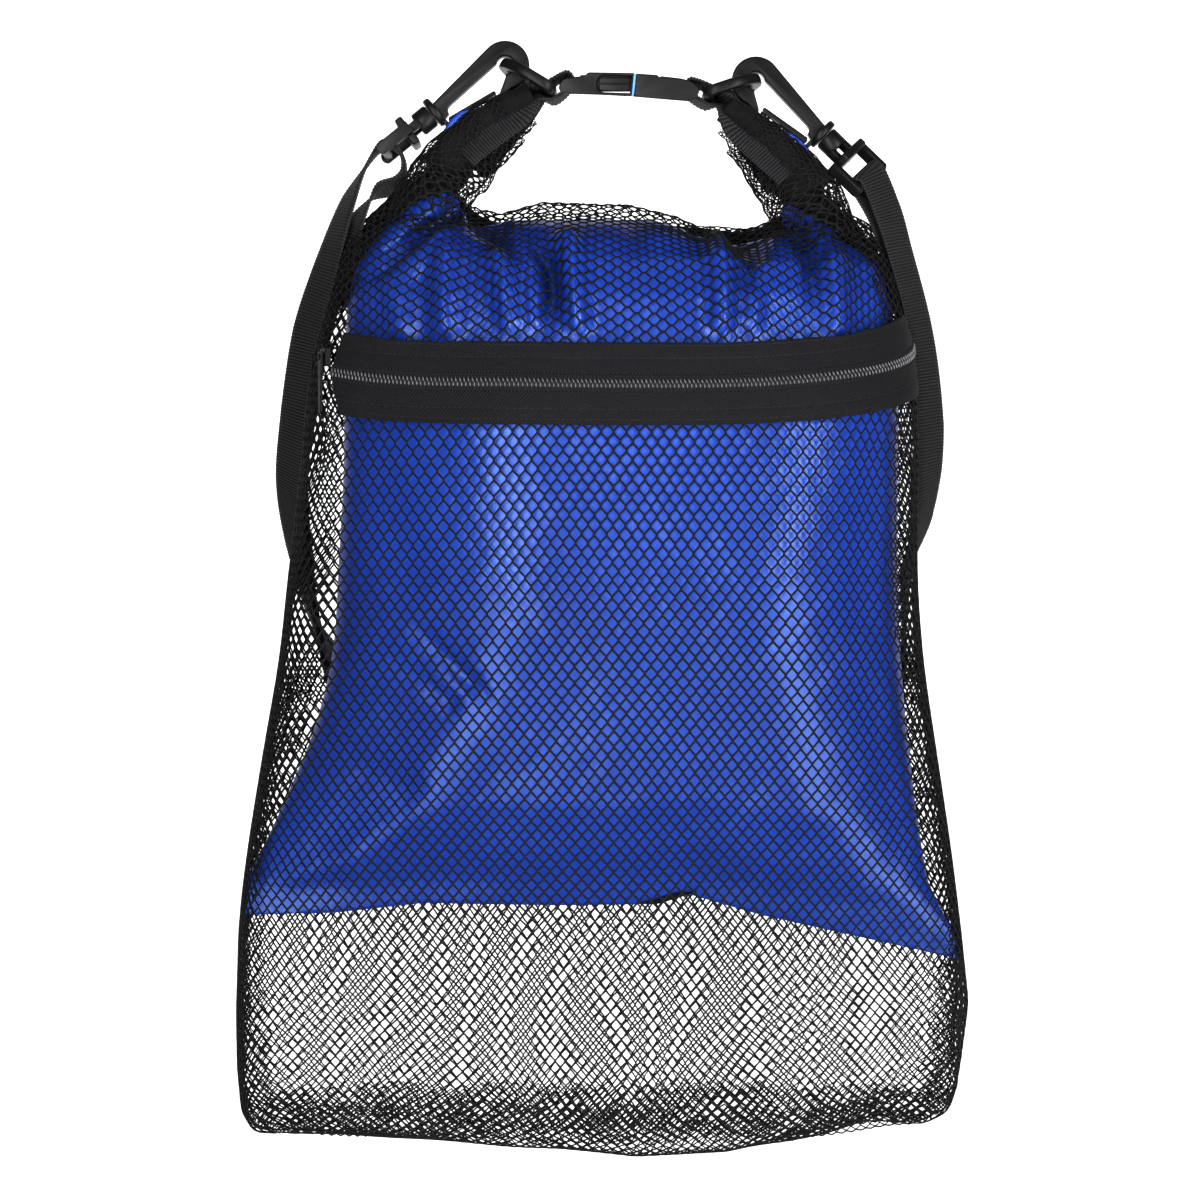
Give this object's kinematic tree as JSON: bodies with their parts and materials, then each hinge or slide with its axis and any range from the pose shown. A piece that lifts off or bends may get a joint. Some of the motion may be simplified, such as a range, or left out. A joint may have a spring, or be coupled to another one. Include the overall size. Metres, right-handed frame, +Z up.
{
  "type": "mesh dry bag",
  "caption": "Net bag with a front zip over a stuffed coated-cloth dry bag, its roll-top buckled into a loop handle, with a webbing shoulder strap on snap hooks.",
  "frame": {"origin": "just under the middle of the buckle, where a hand or a peg carries the handle", "axes": "+Z up as the bag hangs from its handle, +X to the right as seen from the front, the zip side faces -Y"},
  "size_m": [0.305, 0.1254, 0.4602],
  "materials": {
    "net": "black knitted polyester net",
    "cloth": "royal-blue coated ripstop cloth with a satin sheen",
    "tape": "black twill zip tape",
    "coil": "black nylon zip coil",
    "webbing": "black ribbed webbing",
    "plastic": "black moulded plastic, lightly satin"
  },
  "bodies": {
    "bag": {"mesh_bag": "net", "inner_bag": "cloth", "zip_tape_upper": "tape", "zip_tape_lower": "tape", "zip_coil": "coil", "zip_slider": "plastic", "zip_pull": "plastic", "buckle_female": "plastic", "buckle_male": "plastic", "shoulder_strap": "webbing", "strap_slider": "plastic", "tab_left": "webbing", "tab_right": "webbing", "ring_left": "plastic", "ring_right": "plastic", "hook_left": "plastic", "hook_right": "plastic", "swivel_left": "plastic", "swivel_right": "plastic"},
    "left_gate": {"gate_left": "plastic"},
    "right_gate": {"gate_right": "plastic"}
  },
  "joints": [
    {"name": "left_gate_turn", "type": "hinge", "parent": "bag", "child": "left_gate", "pos_m": [-0.07443, 0, -0.00967], "axis": [0, -1, 0], "range_deg": [0, 18], "stiffness_Nm_per_rad": 0.02},
    {"name": "right_gate_turn", "type": "hinge", "parent": "bag", "child": "right_gate", "pos_m": [0.07357, 0, -0.01814], "axis": [0, 1, 0], "range_deg": [0, 18], "stiffness_Nm_per_rad": 0.02}
  ]
}
